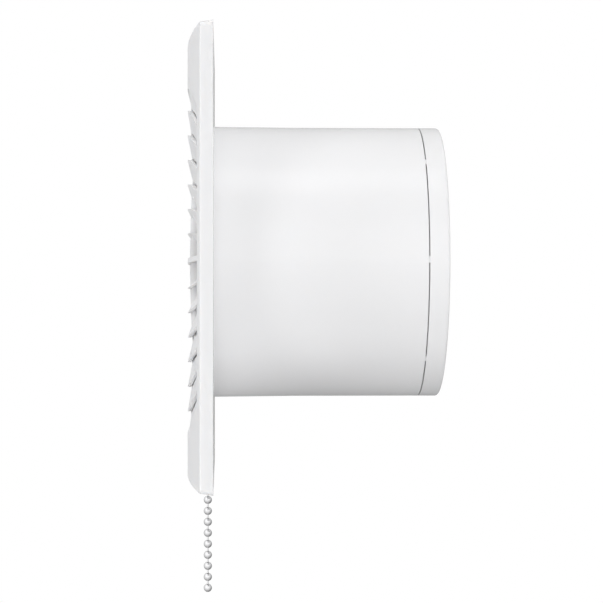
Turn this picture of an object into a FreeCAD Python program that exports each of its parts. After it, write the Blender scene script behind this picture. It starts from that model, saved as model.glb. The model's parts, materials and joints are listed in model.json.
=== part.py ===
import FreeCAD, Part
import math
import os

# Wall-mounted extractor fan for a 100 mm duct, in millimetres.
# +Y runs along the duct into the wall, +Z is up and +X is right seen from the room.
# The origin is on the duct axis in the wall plane, so the front panel lies at negative Y.

V = FreeCAD.Vector
X_AXIS, Y_AXIS, Z_AXIS = V(1, 0, 0), V(0, 1, 0), V(0, 0, 1)

# Fits
GAP = 0.1                  # seat between two parts that stay together
RUN = 0.03                 # shaft in a plain bush
LOOSE = 0.4                # moving part past a fixed one

# Front panel
PANEL = 158.6              # side of the square at the wall
PANEL_DEPTH = 9.7          # wall to the crown of the dome
PANEL_EDGE = 4.4           # depth of the left and right side walls
PANEL_DRAFT = 0.16         # side walls lean in by this much per millimetre of depth
PANEL_CORNER, INNER_CORNER = 1.5, 0.8
PANEL_WALL = 2.0

# Louvre: blades bow like lines of latitude and all aim at one line behind the middle blade
LOUVRE_HALF_WIDTH = 70.0
BLADES_EACH_SIDE = 6
BLADE_PITCH = 9.0
BLADE_BOW = 0.19           # share of its height that a blade loses at the louvre's side
BLADE_TIP = 0.9            # half thickness of a blade's front edge
BLADE_THICK = 1.2
BLADE_REACH = 8.4          # height covered by a full blade
BLADE_SINK, LIP_SINK = 0.05, 0.3     # blade tips and end lips lie this far under the dome
BACK_AT_SIDE, BACK_BOW = 3.0, 1.7   # rear limit of the blades: distance from the wall, and its bow
STEM_SPACING = 36.0        # the three upright stems behind the blades
STEM_THICK = 1.5
STEM_CROWN, STEM_DIP, STEM_DIP_AT, STEM_END, STEM_END_AT = 0.78, 1.8, 30.0, 1.2, 59.0

# Snap hooks that hold the panel on the base plate
HOOK_AT, HOOK_LENGTH, HOOK_REACH, HOOK_THICK = 25.0, 10.0, 2.0, 0.9

# Body: base plate and duct spigot
PLATE_THICK = 2.4
PLATE_GAP = 0.8            # plate edge to panel wall
SPIGOT_R = 49.5            # slides into a 100 mm duct
SPIGOT_DRAFT = 0.3         # thicker at the root by this much
SPIGOT_TAPER_END = 30.0
SPIGOT_END = 74.9
SHROUD_WALL = 2.9          # spigot wall round the impeller
SEAT_WALL = 2.2            # thinner rear stretch for the cradle and the valve ring
SEAT_START = 40.0
INLET_ROUND = 2.0
COLLAR_WIDTH, COLLAR_THICK = 3.5, 1.2   # spigot's front collar, let into the base plate
SCREW_SPACING = 124.0
SCREW_HOLE_R = 2.25
GROOVE_HALF, GROOVE_DEPTH, GROOVE_END = 1.9, 1.7, 39.0

# Valve ring with two flaps on one upright pin
SEAM = 0.4
RING_LENGTH = 7.1
RING_WALL = 3.9
RING_EDGE_ROUND = 1.0
NUBS, NUB_WIDTH = 8, 2.4
FLAP_EDGE = 0.6            # flap rim to ring
FLAP_THICK = 0.8
FLAP_SET_IN = 0.4          # hinge axis in front of the spigot's end
FLAP_INNER = 2.5
KNUCKLE_R = 2.0
PIN_R = 1.0
PIN_SHORT = 1.1            # pin end to ring
BOSS_LENGTH = 4.1
LIP_WIDTH, LIP_THICK, LIP_GAP = 2.4, 1.6, 0.3
BAR_HALF, BAR_THICK = 2.2, 2.4
KNUCKLES = ((0.2, 0.48), (0.68, 0.96))   # shares of the half pin, dealt out between the flaps
TORSION_R, TORSION_WIRE, TORSION_PITCH, TORSION_TURNS, TORSION_LEG = 1.9, 0.3, 1.2, 4, 8.0

# Motor and its cradle
CRADLE_LENGTH = 20.0
CUP_R, CUP_WALL = 23.2, 1.8
CUP_FRONT, CUP_REAR, CUP_FLOOR = 29.0, 62.0, 2.0
ARMS = (-90.0, 30.0, 150.0)
ARM_THICK, ARM_FRONT, ARM_REAR = 3.0, 42.0, 58.0
LUG_R, LUG_OUT, LUG_LENGTH = 3.0, 1.6, 11.0   # screw lugs, and how far out of the cup their middles lie
CAP_SCREW_R, CAP_SCREW_HEAD_R, CAP_SCREW_HEAD, CAP_SCREW_LENGTH = 1.0, 2.3, 1.4, 9.0
CAP_THICK, CAP_RIM = 2.0, 2.0
BUSH_R, BUSH_LENGTH, BUSH_BOSS_R = 5.0, 6.0, 8.0
STACK_FRONT, STACK_REAR, STACK_BORE = 38.0, 52.0, 12.3
WINDING_IN, WINDING_OUT, WINDING_LENGTH = 13.5, 20.5, 5.0
AIR_GAP = 0.3
SHAFT_R = 2.0
LEAD_HOLE_R, LEAD_Y = 2.2, 36.0

# Impeller
IMP_BLADES = 7
HUB_R, HUB_WALL, HUB_NOSE, HUB_FRONT, HUB_REAR = 19.0, 2.0, 1.8, 5.5, 23.5
IMP_BOSS_R, IMP_BOSS_FRONT, IMP_BOSS_REAR = 5.0, 7.5, 22.5
TIP_CLEARANCE = 1.4
IMP_MID = 14.2
ROOT_CHORD, ROOT_PITCH = 22.0, 48.0
TIP_CHORD, TIP_PITCH = 28.0, 26.0
IMP_CAMBER, IMP_THICK, IMP_EDGE = 0.08, 1.6, 0.4
CLIP_R, CLIP_THICK = 4.2, 0.6
WASHER_R, WASHER_THICK = 5.0, 0.5

# Ball chain and pull switch
CHAIN_X, CHAIN_Y = -44.0, -2.6
BEAD_R, BEAD_WALL, BEAD_PITCH = 1.6, 0.25, 4.295
BEAD_TOP = -74.89          # centre of the bead held in the pull bar
BEADS = 13
LINK_R, LINK_HEAD_R, BEAD_HOLE_R = 0.3, 0.58, 0.54
LINK_HEAD_AT = 0.66        # link head from the middle of its bead
SWITCH_X = (-51.0, -37.0)
SWITCH_Z = (-72.6, -60.9)
SWITCH_Y = (-4.5, -0.2)
SWITCH_WALL = 1.0
COVER_THICK = 0.6
BAR_HEAD = (9.0, 2.8, 2.2)   # width, depth and height of the pull bar's head
STEM_R = 0.8
YOKE_R, YOKE_TOP, YOKE_BOTTOM = 2.1, -73.0, -76.4
SPRING_R, SPRING_WIRE, SPRING_TURNS = 1.15, 0.2, 6
CONTACT_THICK = 0.6

# Terminal block, cable grommet and leads
BLOCK_HALF, BLOCK_Z, BLOCK_Y = 10.9, (-74.0, -64.0), (-7.0, -0.2)
POLES = (-7.0, 0.0, 7.0)
CLAMP = (4.8, 4.0, 8.0)
ENTRY_R, CLAMP_SCREW_R, CLAMP_SCREW_HEAD_R = 1.2, 1.2, 1.7
WIRE_Y = -2.6
GROMMET_X, GROMMET_Z, GROMMET_R, GROMMET_FLANGE, GROMMET_BORE = 26.0, -67.0, 4.6, 6.2, 3.0
LEAD_R = 0.65


# Shape helpers

def box(x, y, z):
    """Box from three (low, high) pairs."""
    return Part.makeBox(x[1] - x[0], y[1] - y[0], z[1] - z[0], V(x[0], y[0], z[0]))


def rod(radius, start, end):
    """Cylinder between two points."""
    return Part.makeCylinder(radius, (end - start).Length, start, end - start)


def rod_y(radius, y0, y1, x=0.0, z=0.0):
    return rod(radius, V(x, y0, z), V(x, y1, z))


def ring_y(outer, inner, y0, y1, x=0.0, z=0.0):
    return rod_y(outer, y0, y1, x, z).cut(rod_y(inner, y0 - 1, y1 + 1, x, z))


def spun(points):
    """Solid of revolution about the duct axis from (radius, y) points."""
    outline = [V(r, y, 0) for r, y in points]
    return Part.Face(Part.makePolygon(outline + outline[:1])).revolve(V(0, 0, 0), Y_AXIS, 360)


def turned(shape, degrees, axis=Y_AXIS):
    copy = shape.copy()
    copy.rotate(V(0, 0, 0), axis, degrees)
    return copy


def joined(shapes):
    return shapes[0].fuse(shapes[1:]).removeSplitter()


def rounded_square(half, corner, y):
    """Square wire with round corners in the plane at y."""
    flat = half - corner
    diag = flat + corner * math.sqrt(0.5)
    edges = []
    for turn in range(4):
        side = Part.makeLine(V(-flat, y, half), V(flat, y, half))
        arc = Part.Arc(V(flat, y, half), V(diag, y, diag), V(half, y, flat)).toShape()
        edges += [turned(side, 90 * turn), turned(arc, 90 * turn)]
    return Part.Wire(Part.__sortEdges__(edges))


def biarc(p0, t0, p1, t1):
    """Two arcs that leave p0 along t0 and reach p1 along t1."""
    chord, both = p1 - p0, t0 + t1
    a, b, c = 2 * t0.dot(t1) - 2, -2 * chord.dot(both), chord.dot(chord)
    reach = -c / b if abs(a) < 1e-9 else (-b - math.sqrt(b * b - 4 * a * c)) / (2 * a)
    q0, q1 = p0 + t0 * reach, p1 - t1 * reach
    meet = (q0 + q1) * 0.5
    arcs = []
    for start, corner, end in ((p0, q0, meet), (meet, q1, p1)):
        mid, half = (start + end) * 0.5, (end - start).Length / 2
        rise = corner - mid
        bulge = half * math.tan(math.atan2(rise.Length, half) / 2)
        arcs.append(Part.Arc(start, mid + rise.normalize() * bulge, end).toShape())
    return arcs


def tube(spine, radius):
    """Round wire along a spine."""
    edge = spine.Edges[0]
    start = edge.firstVertex(True).Point
    direction = edge.tangentAt(edge.FirstParameter)
    profile = Part.Wire(Part.makeCircle(radius, start, direction))
    return spine.makePipeShell([profile], True, False)


def coil(radius, wire, pitch, turns, centre, leg=0.0):
    """Spring wire wound upwards from centre, with an optional straight leg at each end."""
    steps = 4 * turns
    rise = pitch / (2 * math.pi)

    def at(step):
        angle = math.pi / 2 + step * math.pi / 2
        point = centre + V(radius * math.cos(angle), radius * math.sin(angle), rise * step * math.pi / 2)
        return point, V(-radius * math.sin(angle), radius * math.cos(angle), rise).normalize()

    edges = []
    for step in range(steps):
        (p0, t0), (p1, t1) = at(step), at(step + 1)
        edges += biarc(p0, t0, p1, t1)
    if leg:
        (first, t_first), (last, t_last) = at(0), at(steps)
        edges.insert(0, Part.makeLine(first - t_first * leg, first))
        edges.append(Part.makeLine(last, last + t_last * leg))
    print("coil gap to itself: %.2f mm" % (self_distance(edges, math.pi * radius) - 2 * wire))
    return tube(Part.Wire(edges), wire)


def self_distance(edges, apart):
    """Least distance between points of a wire that lie further than apart along it."""
    run, places = 0.0, []
    for edge in edges:
        count = max(4, int(edge.Length / 0.2))
        points = edge.discretize(count)
        places += [(run + edge.Length * i / (count - 1), point) for i, point in enumerate(points)]
        run += edge.Length
    return min((p - q).Length for i, (a, p) in enumerate(places) for b, q in places[i + 1:] if b - a > apart)


def lead(points):
    """Insulated wire along straight runs, with the largest tangent arc that fits at each corner."""
    route = [V(*p) for p in points]
    edges, start = [], route[0]
    for before, corner, after in zip(route, route[1:], route[2:]):
        into, out = before - corner, after - corner
        reach = 0.45 * min(into.Length, out.Length)
        into, out = into.normalize(), out.normalize()
        half = into.getAngle(out) / 2
        crown = (into + out).normalize() * (reach / math.cos(half) - reach * math.tan(half))
        first, last = corner + into * reach, corner + out * reach
        edges += [Part.makeLine(start, first), Part.Arc(first, corner + crown, last).toShape()]
        start = last
    return tube(Part.Wire(edges + [Part.makeLine(start, route[-1])]), LEAD_R)


# Sizes that follow from the ones above
HALF = PANEL / 2
SAG = PANEL_DEPTH - PANEL_EDGE
DOME_R = (HALF ** 2 + SAG ** 2) / (2 * SAG)
PLATE_HALF = HALF - PANEL_WALL - PLATE_GAP
HOOK_BACK = -GAP
SPIGOT_ROOT_R = SPIGOT_R + SPIGOT_DRAFT
SHROUD_R = SPIGOT_R - SHROUD_WALL
SEAT_R = SPIGOT_R - SEAT_WALL
COLLAR_R = SPIGOT_R + COLLAR_WIDTH
GROOVE_R = SHROUD_R + GROOVE_DEPTH
IMP_R = SHROUD_R - TIP_CLEARANCE
RING_IN_R = SPIGOT_R - RING_WALL
RING_START = SPIGOT_END + SEAM
RING_END = RING_START + RING_LENGTH
FLAP_R = RING_IN_R - FLAP_EDGE
FLAP_Y = SPIGOT_END - FLAP_SET_IN
LIP_R = RING_IN_R - LIP_WIDTH
PIN_HALF = RING_IN_R - PIN_SHORT
BOSS_START = RING_IN_R - BOSS_LENGTH
LUG_AT = CUP_R + CUP_WALL + LUG_OUT
CRADLE_FRONT = SEAT_START + GAP
CRADLE_REAR = CRADLE_FRONT + CRADLE_LENGTH
FRONT_BUSH = CUP_FRONT - 1.0
REAR_BUSH = CUP_REAR - CUP_FLOOR - BUSH_LENGTH


def dome_y(x):
    """Front surface of the panel."""
    return DOME_R - PANEL_DEPTH - math.sqrt(DOME_R ** 2 - x ** 2)


# Front panel

def dome_block(offset):
    """Everything behind the dome surface moved in by offset, over the whole height."""
    wide, radius = HALF + 10, DOME_R - offset
    centre = DOME_R - PANEL_DEPTH

    def front(x):
        return V(x, centre - math.sqrt(radius ** 2 - x ** 2), -HALF - 10)

    back = [V(wide, 5, -HALF - 10), V(-wide, 5, -HALF - 10)]
    arc = Part.Arc(front(-wide), front(0), front(wide)).toShape()
    sides = Part.makePolygon([front(wide)] + back + [front(-wide)]).Edges
    return Part.Face(Part.Wire([arc] + sides)).extrude(Z_AXIS * (PANEL + 20))


def panel_block(offset):
    """Drafted square block with a domed front, all faces moved in by offset."""
    depth, corner = PANEL_DEPTH + 1, max(PANEL_CORNER - offset, INNER_CORNER)
    back = rounded_square(HALF - offset, corner, 0)
    front = rounded_square(HALF - offset - PANEL_DRAFT * depth, corner, -depth)
    return Part.makeLoft([back, front], True, True).common(dome_block(offset))


def blade_z(k, x):
    """Height of blade k at x."""
    return k * BLADE_PITCH * (1 - BLADE_BOW * (x / LOUVRE_HALF_WIDTH) ** 2)


def blade_back(x):
    return -BACK_AT_SIDE - BACK_BOW * (1 - (x / LOUVRE_HALF_WIDTH) ** 2)


def blade_section(k, x):
    """Closed outline of blade k at x."""
    sink = BLADE_SINK if abs(k) <= BLADES_EACH_SIDE else LIP_SINK
    front, back = dome_y(x) + sink, blade_back(x)
    if k == 0:
        corners = [(front, BLADE_TIP), (back, BLADE_TIP * 0.8), (back, -BLADE_TIP * 0.8), (front, -BLADE_TIP)]
    else:
        thick = BLADE_THICK * math.hypot(1, k) / abs(k)
        depth = min(BLADE_REACH / abs(k), back - front - thick)
        tip = blade_z(k, x) + math.copysign(BLADE_TIP, k)
        root = tip - k * depth
        corners = [(front, tip), (front + depth, root), (front + depth + thick, root), (front + thick, tip)]
    points = [V(x, y, z) for y, z in corners]
    return Part.makePolygon(points + points[:1])


def louvre_blade(k):
    end = LOUVRE_HALF_WIDTH + 1
    stations = [end * s for s in (-1, -0.5, 0, 0.5, 1)]
    return Part.makeLoft([blade_section(k, x) for x in stations], True, False)


def louvre_window():
    """Opening in the panel front: straight sides, bowed top and bottom."""
    side, last = LOUVRE_HALF_WIDTH, BLADES_EACH_SIDE + 1
    y = -PANEL_DEPTH - 1

    def edge(k):
        return Part.Arc(*[V(x, y, blade_z(k, x)) for x in (-side, 0, side)]).toShape()

    corner = blade_z(last, side)
    walls = [Part.makeLine(V(s, y, -corner), V(s, y, corner)) for s in (-side, side)]
    outline = Part.Wire(Part.__sortEdges__([edge(last), edge(-last)] + walls))
    return Part.Face(outline).extrude(Y_AXIS * (PANEL_DEPTH + 1))


def louvre_stem(x):
    """Upright stem behind the blades with a waved front edge."""
    front, back = dome_y(x), blade_back(x) + 0.5

    def at(z, recess):
        return V(x - STEM_THICK / 2, front + recess, z)

    crown = Part.Arc(at(-STEM_DIP_AT, STEM_DIP), at(0, STEM_CROWN), at(STEM_DIP_AT, STEM_DIP)).toShape()
    rest = [at(STEM_DIP_AT, STEM_DIP), at(STEM_END_AT, STEM_END), at(STEM_END_AT, back - front),
            at(-STEM_END_AT, back - front), at(-STEM_END_AT, STEM_END), at(-STEM_DIP_AT, STEM_DIP)]
    outline = Part.Wire([crown] + Part.makePolygon(rest).Edges)
    return Part.Face(outline).extrude(X_AXIS * STEM_THICK)


def snap_places():
    """Side (-1 or 1) and height of each snap hook."""
    return [(side, z) for side in (-1, 1) for z in (-HOOK_AT, HOOK_AT)]


def snap_hook(side, z):
    inner = HALF - PANEL_WALL
    span = sorted((side * (inner - HOOK_REACH), side * (inner + PANEL_WALL / 2)))
    return box(span, (HOOK_BACK - HOOK_THICK, HOOK_BACK), (z - HOOK_LENGTH / 2, z + HOOK_LENGTH / 2))


def chain_notch(extra):
    """Slot for the pull bar, open at the wall side, from inside the panel to below it."""
    half, z = YOKE_R + extra, -HALF - 2
    left, right = CHAIN_X - half, CHAIN_X + half
    nose = Part.Arc(V(left, CHAIN_Y, z), V(CHAIN_X, CHAIN_Y - half, z), V(right, CHAIN_Y, z)).toShape()
    sides = Part.makePolygon([V(right, CHAIN_Y, z), V(right, 1, z), V(left, 1, z), V(left, CHAIN_Y, z)])
    return Part.Face(Part.Wire([nose] + sides.Edges)).extrude(Z_AXIS * (SWITCH_Z[0] - z))


def front_panel():
    shell = panel_block(0).cut([panel_block(PANEL_WALL), louvre_window()])
    last = BLADES_EACH_SIDE + 1
    blades = [louvre_blade(k) for k in range(-last, last + 1)]
    stems = [louvre_stem(s * STEM_SPACING) for s in (-1, 0, 1)]
    hooks = [snap_hook(*place) for place in snap_places()]
    return joined([shell] + blades + stems + hooks).cut(chain_notch(LOOSE))


# Body

def base_plate():
    plate = Part.Face(rounded_square(PLATE_HALF, INNER_CORNER, -PLATE_THICK))
    return plate.extrude(Y_AXIS * PLATE_THICK).cut(plate_cuts())


def duct_spigot():
    """Tube with a rounded inlet and a collar that sits in the plate's rebate."""
    rebate = COLLAR_THICK - PLATE_THICK
    wall = spun([(SHROUD_R, -PLATE_THICK), (COLLAR_R, -PLATE_THICK),
                 (COLLAR_R, rebate), (SPIGOT_ROOT_R, rebate),
                 (SPIGOT_R, SPIGOT_TAPER_END), (SPIGOT_R, SPIGOT_END),
                 (SEAT_R, SPIGOT_END), (SEAT_R, SEAT_START), (SHROUD_R, SEAT_START)])
    inlet = [e for e in wall.Edges if abs(e.BoundBox.YMax + PLATE_THICK) < 1e-6
             and abs(e.BoundBox.XMax - SHROUD_R) < 1e-3]
    return wall.makeFillet(INLET_ROUND, inlet).cut(lead_groove())


def lead_groove():
    """Channel for the motor leads along the bottom of the shroud."""
    across, front = (-GROOVE_HALF, GROOVE_HALF), -PLATE_THICK - 1
    along = box(across, (front, GROOVE_END), (-GROOVE_R, 1 - SHROUD_R))
    return along.fuse(box(across, (front, -PLATE_THICK / 4), (-COLLAR_R - 1, -SHROUD_R)))


def plate_cuts():
    """Windows, holes and channels in the base plate."""
    through = (-PLATE_THICK - 1, 1)
    place = SCREW_SPACING / 2
    cuts = [rod_y(SCREW_HOLE_R, *through, x, z) for x in (-place, place) for z in (-place, place)]
    cuts += [rod_y(SPIGOT_ROOT_R + GAP, *through),
             rod_y(COLLAR_R + GAP, through[0], COLLAR_THICK - PLATE_THICK)]
    cuts += [box((SWITCH_X[0] - GAP, SWITCH_X[1] + GAP), through, (SWITCH_Z[0] - GAP, SWITCH_Z[1] + GAP))]
    cuts += [box((-BLOCK_HALF - GAP, BLOCK_HALF + GAP), through, (BLOCK_Z[0] - GAP, BLOCK_Z[1] + GAP))]
    cuts += [chain_notch(LOOSE)]
    cuts += [rod_y(GROMMET_R, *through, GROMMET_X, GROMMET_Z)]
    cuts += [rod_y(GROMMET_FLANGE + GAP, -PLATE_THICK / 2, 1, GROMMET_X, GROMMET_Z)]
    for side, z in snap_places():
        span = sorted((side * (HALF - PANEL_WALL - HOOK_REACH - 2 * GAP), side * HALF))
        reach = HOOK_LENGTH / 2 + 1
        cuts.append(box(span, (HOOK_BACK - HOOK_THICK - GAP, 1), (z - reach, z + reach)))
    channel, half_deep = POLES[2] + 1.5, (-PLATE_THICK - 1, -PLATE_THICK / 2)
    cuts.append(box((-channel, channel), half_deep, (BLOCK_Z[1], -SHROUD_R)))
    cuts.append(box((SWITCH_X[1], -channel + 1), half_deep, (-HALF, BLOCK_Z[1] + 4.5)))
    cuts.append(box((-channel, 2), half_deep, (-HALF, BLOCK_Z[0])))
    return cuts


# Valve ring and flaps

def valve_ring():
    sleeve = SEAT_R - GAP
    lip_rear = FLAP_Y - FLAP_THICK / 2 - LIP_GAP
    band = spun([(RING_IN_R, CRADLE_REAR + GAP), (sleeve, CRADLE_REAR + GAP), (sleeve, RING_START),
                 (SPIGOT_R, RING_START), (SPIGOT_R, RING_END), (RING_IN_R, RING_END)])
    edge = [e for e in band.Edges if abs(e.BoundBox.YMin - RING_END) < 1e-6
            and abs(e.BoundBox.XMax - SPIGOT_R) < 1e-3]
    band = band.makeFillet(RING_EDGE_ROUND, edge)
    lip = ring_y(RING_IN_R + GAP, LIP_R, lip_rear - LIP_THICK, lip_rear)
    bar = box((-BAR_HALF, BAR_HALF), (FLAP_Y - KNUCKLE_R - BAR_THICK - GAP, FLAP_Y - KNUCKLE_R - 2 * GAP),
              (-RING_IN_R - GAP, RING_IN_R + GAP))
    bosses = [box((-KNUCKLE_R, KNUCKLE_R), (FLAP_Y - KNUCKLE_R - 1, FLAP_Y + KNUCKLE_R),
                  sorted((s * BOSS_START, s * (RING_IN_R + GAP)))) for s in (-1, 1)]
    nub = box((SEAT_R - 1, SPIGOT_R - GAP), (SPIGOT_END, RING_START + GAP), (-NUB_WIDTH / 2, NUB_WIDTH / 2))
    nubs = [turned(nub, 360 / NUBS * i) for i in range(NUBS)]
    bore = rod(PIN_R + RUN, V(0, FLAP_Y, -PIN_HALF - GAP), V(0, FLAP_Y, PIN_HALF + GAP))
    return joined([band, lip, bar] + bosses + nubs).cut(bore)


def hinge_pin():
    return rod(PIN_R, V(0, FLAP_Y, -PIN_HALF), V(0, FLAP_Y, PIN_HALF))


def valve_flap(side):
    """Half disc with its own share of the knuckles; side is -1 or 1."""
    disc = rod_y(FLAP_R, FLAP_Y - FLAP_THICK / 2, FLAP_Y + FLAP_THICK / 2)
    flap = disc.common(box(sorted((side * FLAP_INNER, side * HALF)), (0, PANEL), (-HALF, HALF)))
    notch = KNUCKLE_R + LOOSE + 1
    for end in (-1, 1):
        flap = flap.cut(box((-notch, notch), (0, PANEL), sorted((end * (BOSS_START - LOOSE), end * HALF))))
    low, high = [[share * BOSS_START for share in span] for span in KNUCKLES]
    for z0, z1 in ((high, (-low[1], -low[0])) if side > 0 else (low, (-high[1], -high[0]))):
        knuckle = rod(KNUCKLE_R, V(0, FLAP_Y, z0), V(0, FLAP_Y, z1))
        web = box(sorted((0, side * (FLAP_INNER + 2))),
                  (FLAP_Y - FLAP_THICK / 2, FLAP_Y + FLAP_THICK / 2), (z0, z1))
        flap = flap.fuse([knuckle, web])
    bore = rod(PIN_R + 2 * RUN, V(0, FLAP_Y, -PIN_HALF), V(0, FLAP_Y, PIN_HALF))
    return flap.removeSplitter().cut(bore)


def flap_spring():
    start = V(0, FLAP_Y, -TORSION_PITCH * TORSION_TURNS / 2)
    return coil(TORSION_R, TORSION_WIRE, TORSION_PITCH, TORSION_TURNS, start, TORSION_LEG)


# Motor

def lug_angles():
    return [angle + 60 for angle in ARMS]


def lugs(radius, y0, y1):
    return [turned(rod_y(radius, y0, y1, LUG_AT, 0), -angle) for angle in lug_angles()]


def motor_cradle():
    outer = CUP_R + CUP_WALL
    cup = spun([(CUP_R, CUP_FRONT), (outer, CUP_FRONT), (outer, CUP_REAR), (0, CUP_REAR),
                (0, CUP_REAR - CUP_FLOOR), (CUP_R, CUP_REAR - CUP_FLOOR)])
    boss = ring_y(BUSH_BOSS_R, BUSH_R + GAP / 2, REAR_BUSH - GAP, CUP_REAR - CUP_FLOOR)
    rim = ring_y(SEAT_R - GAP, RING_IN_R, CRADLE_FRONT, CRADLE_REAR)
    arm = box((outer - 1, RING_IN_R + GAP), (ARM_FRONT, ARM_REAR), (-ARM_THICK / 2, ARM_THICK / 2))
    arms = [turned(arm, -angle) for angle in ARMS]
    screw_lugs = [s.cut(rod_y(CUP_R + GAP, CUP_FRONT - 1, CUP_REAR))
                  for s in lugs(LUG_R, CUP_FRONT, CUP_FRONT + LUG_LENGTH)]
    holes = lugs(CAP_SCREW_R + GAP, CUP_FRONT - 1, CUP_FRONT + LUG_LENGTH - 1)
    lead_hole = rod(LEAD_HOLE_R, V(0, LEAD_Y, -outer - 1), V(0, LEAD_Y, -CUP_R + 1))
    return joined([cup, boss, rim] + arms + screw_lugs).cut(holes + [lead_hole])


def motor_end_cap():
    outer, rear = CUP_R + CUP_WALL, CUP_FRONT
    plate = rod_y(outer, rear - CAP_THICK, rear)
    rim = ring_y(CUP_R - GAP, CUP_R - CUP_WALL, rear - GAP, rear + CAP_RIM)
    boss = rod_y(BUSH_BOSS_R, rear - CAP_THICK, FRONT_BUSH + BUSH_LENGTH + GAP)
    ears = lugs(LUG_R, rear - CAP_THICK, rear)
    pocket = rod_y(BUSH_R + GAP / 2, FRONT_BUSH, rear + HALF)
    shaft_hole = rod_y(SHAFT_R + LOOSE, 0, HALF)
    return joined([plate, rim, boss] + ears).cut([pocket, shaft_hole] + lugs(CAP_SCREW_R + GAP, 0, HALF))


def end_cap_screws():
    seat = CUP_FRONT - CAP_THICK
    heads = lugs(CAP_SCREW_HEAD_R, seat - CAP_SCREW_HEAD, seat)
    shanks = lugs(CAP_SCREW_R, seat, seat + CAP_SCREW_LENGTH)
    return [joined([head, shank]) for head, shank in zip(heads, shanks)]


def bush(front):
    return ring_y(BUSH_R, SHAFT_R + RUN, front, front + BUSH_LENGTH)


def stator_stack():
    """Ring of laminations with six slots for the windings."""
    ring = ring_y(CUP_R - GAP, STACK_BORE, STACK_FRONT, STACK_REAR)
    slot = box((WINDING_IN, WINDING_OUT), (STACK_FRONT - 1, STACK_REAR + 1), (-2, 2))
    return ring.cut([turned(slot, 60 * i + 30) for i in range(6)])


def stator_windings():
    """Two end turns joined by six slot bundles."""
    ends = [ring_y(WINDING_OUT, WINDING_IN, y, y + WINDING_LENGTH)
            for y in (STACK_FRONT - WINDING_LENGTH - GAP, STACK_REAR + GAP)]
    reach = (WINDING_IN + GAP, WINDING_OUT - GAP)
    bundle = box(reach, (STACK_FRONT - 1, STACK_REAR + 1), (-2 + GAP, 2 - GAP))
    return joined(ends + [turned(bundle, 60 * i + 30) for i in range(6)])


def rotor():
    return ring_y(STACK_BORE - AIR_GAP, SHAFT_R, STACK_FRONT, STACK_REAR)


def motor_shaft():
    return rod_y(SHAFT_R, IMP_BOSS_FRONT + GAP, REAR_BUSH + BUSH_LENGTH - GAP)


def shaft_clip():
    """Retaining ring behind the impeller boss, open on one side."""
    start = IMP_BOSS_REAR + GAP
    ring = ring_y(CLIP_R, SHAFT_R, start, start + CLIP_THICK)
    return ring.cut(box((-SHAFT_R * 0.7, SHAFT_R * 0.7), (0, HALF), (0, CLIP_R + 1)))


def thrust_washer():
    rear = FRONT_BUSH - 1.0 - GAP
    return ring_y(WASHER_R, SHAFT_R + RUN, rear - WASHER_THICK, rear)


# Impeller

def blade_outline(radius, chord, pitch):
    """Cambered blade outline in the plane at this radius, seen along the radius."""
    angle = math.radians(pitch)
    along, normal = V(0, math.sin(angle), math.cos(angle)), V(0, math.cos(angle), -math.sin(angle))
    middle = V(radius, IMP_MID, 0)
    lead_end, tail = middle - along * (chord / 2), middle + along * (chord / 2)
    crown = middle + normal * (chord * IMP_CAMBER)
    edge, half = normal * IMP_EDGE, normal * (IMP_THICK / 2)
    return Part.Wire([
        Part.Arc(lead_end + edge, crown + half, tail + edge).toShape(),
        Part.makeLine(tail + edge, tail - edge),
        Part.Arc(tail - edge, crown - half, lead_end - edge).toShape(),
        Part.makeLine(lead_end - edge, lead_end + edge)])


def impeller():
    inner = HUB_R - HUB_WALL
    start, end = inner - 2, IMP_R + 3

    def share(radius, root, tip):
        return root + (tip - root) * (radius - inner) / (IMP_R - inner)

    outlines = [blade_outline(r, share(r, ROOT_CHORD, TIP_CHORD), share(r, ROOT_PITCH, TIP_PITCH))
                for r in (start, (start + end) / 2, end)]
    sweep = ring_y(IMP_R, inner + HUB_WALL / 2, 0, HALF)
    blade = Part.makeLoft(outlines, True, False).common(sweep)
    hub = rod_y(HUB_R, HUB_FRONT, HUB_REAR).cut(rod_y(inner, HUB_FRONT + HUB_WALL, HUB_REAR))
    rise = HUB_FRONT - HUB_NOSE
    nose_r = (HUB_R ** 2 + rise ** 2) / (2 * rise)
    nose = Part.makeSphere(nose_r, V(0, HUB_NOSE + nose_r, 0)).common(rod_y(HUB_R, 0, HUB_FRONT + GAP))
    boss = rod_y(IMP_BOSS_R, IMP_BOSS_FRONT - 1, IMP_BOSS_REAR)
    blades = [turned(blade, 360 / IMP_BLADES * i) for i in range(IMP_BLADES)]
    return joined([hub, nose, boss] + blades).cut(rod_y(SHAFT_R, IMP_BOSS_FRONT, HALF))


# Pull switch and chain

def bead_z(i):
    return BEAD_TOP - BEAD_PITCH * i


def bead(i):
    """Hollow ball with a hole at each pole."""
    centre = V(CHAIN_X, CHAIN_Y, bead_z(i))
    ball = Part.makeSphere(BEAD_R, centre).cut(Part.makeSphere(BEAD_R - BEAD_WALL, centre))
    return ball.cut(rod(BEAD_HOLE_R, centre - Z_AXIS * BEAD_R, centre + Z_AXIS * BEAD_R))


def link(i):
    """Dumb-bell pin from bead i to the next one, with its heads inside the two beads."""
    top = V(CHAIN_X, CHAIN_Y, bead_z(i) - LINK_HEAD_AT)
    low = V(CHAIN_X, CHAIN_Y, bead_z(i + 1) + LINK_HEAD_AT)
    heads = [Part.makeSphere(LINK_HEAD_R, end) for end in (top, low)]
    return joined([rod(LINK_R, top, low)] + heads)


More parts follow.
